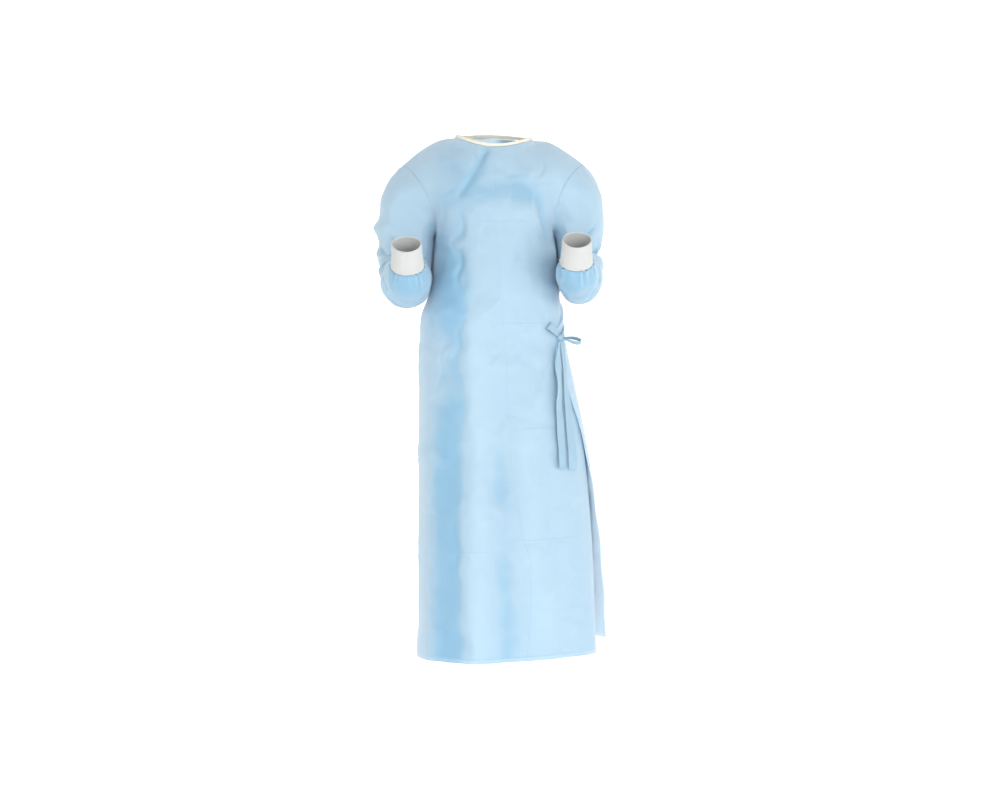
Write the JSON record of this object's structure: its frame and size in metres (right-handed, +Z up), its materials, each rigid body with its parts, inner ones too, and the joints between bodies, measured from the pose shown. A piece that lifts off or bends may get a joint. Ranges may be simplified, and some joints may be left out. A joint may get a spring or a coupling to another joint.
{
  "type": "surgical gown",
  "caption": "Worn long-sleeved surgical gown with a wrap-over back, bent sleeves with knit cuffs, bound neck and a bow at the left side.",
  "frame": {"origin": "middle of the body between the shoulder seams, level with their tops at the neck, where the wearer's shoulders carry the gown", "axes": "+Z up, -Y the way the gown faces, +X towards the wearer's left"},
  "size_m": [0.5241, 0.4575, 1.1755],
  "materials": {
    "nonwoven_blue": "soft matt nonwoven, light blue, with packing creases",
    "tie_cloth": "strips of the gown's cloth, light blue",
    "knit_white": "matt white rib knit",
    "binding_cream": "matt cream binding strip"
  },
  "bodies": {
    "root": {"front": "nonwoven_blue", "back_left": "nonwoven_blue", "back_right": "nonwoven_blue", "sleeve_left": "nonwoven_blue", "sleeve_right": "nonwoven_blue", "cuff_left": "knit_white", "cuff_right": "knit_white", "neck_binding": "binding_cream", "tie_knot": "tie_cloth", "tie_loop_front": "tie_cloth", "tie_loop_side": "tie_cloth", "tie_tail_front": "tie_cloth", "tie_tail_side": "tie_cloth", "tie_strap_back": "tie_cloth", "tie_strap_flap": "tie_cloth"}
  },
  "joints": []
}
